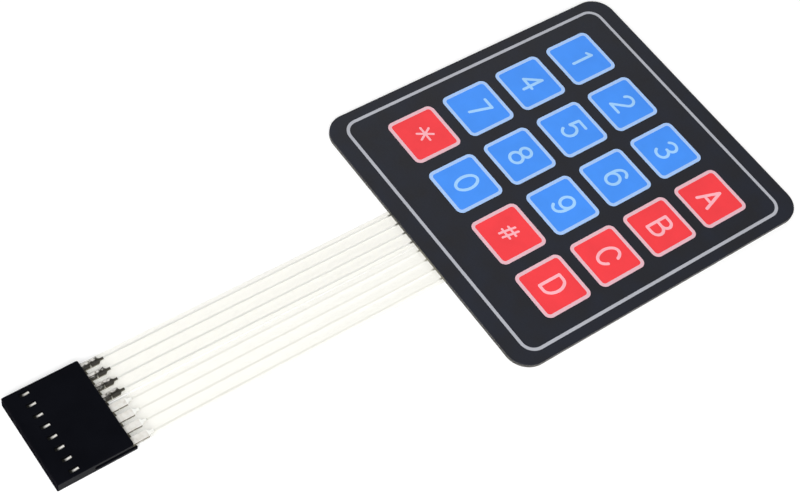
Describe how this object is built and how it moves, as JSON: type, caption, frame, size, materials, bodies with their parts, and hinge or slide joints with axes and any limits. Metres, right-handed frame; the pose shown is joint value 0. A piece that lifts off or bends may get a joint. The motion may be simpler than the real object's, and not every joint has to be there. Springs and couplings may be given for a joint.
{
  "type": "membrane keypad",
  "caption": "Flat membrane keypad: a thin black laminated pad with a grid of printed blue and red keys, a flexible film tail and a crimped pin socket.",
  "frame": {"origin": "centre of the pad's back face, which is stuck to a panel", "axes": "+X along a key row from left to right, +Y towards the top key row, +Z out of the printed face; the tail leaves towards -Y"},
  "size_m": [0.0692, 0.1633, 0.0026],
  "materials": {
    "overlay": "fine textured polyester, printed black",
    "blue_ink": "blue ink under textured polyester",
    "red_ink": "red ink under textured polyester",
    "pale_key_ink": "pale ink line",
    "pale_border_ink": "pale ink line",
    "tinted_adhesive": "dark acrylic adhesive",
    "adhesive": "milky acrylic adhesive",
    "circuit_film": "clear polyester film, faintly cream",
    "silver_ink": "printed silver ink, dull",
    "spacer_film": "dark tinted polyester film",
    "liner_paper": "coated release paper",
    "housing_plastic": "moulded black plastic, satin",
    "tinned_contact": "tin-plated sheet metal"
  },
  "bodies": {
    "root": {"graphic_overlay": "overlay", "blue_key_print": "blue_ink", "red_key_print": "red_ink", "key_outline_print": "pale_key_ink", "border_print": "pale_border_ink", "overlay_adhesive": "tinted_adhesive", "upper_circuit_film": "circuit_film", "column_traces": "silver_ink", "spacer": "spacer_film", "lower_circuit_film": "circuit_film", "row_traces": "silver_ink", "rear_adhesive": "adhesive", "release_liner": "liner_paper", "connector_housing": "housing_plastic", "contact_1": "tinned_contact", "contact_2": "tinned_contact", "contact_3": "tinned_contact", "contact_4": "tinned_contact", "contact_5": "tinned_contact", "contact_6": "tinned_contact", "contact_7": "tinned_contact", "contact_8": "tinned_contact"}
  },
  "joints": []
}
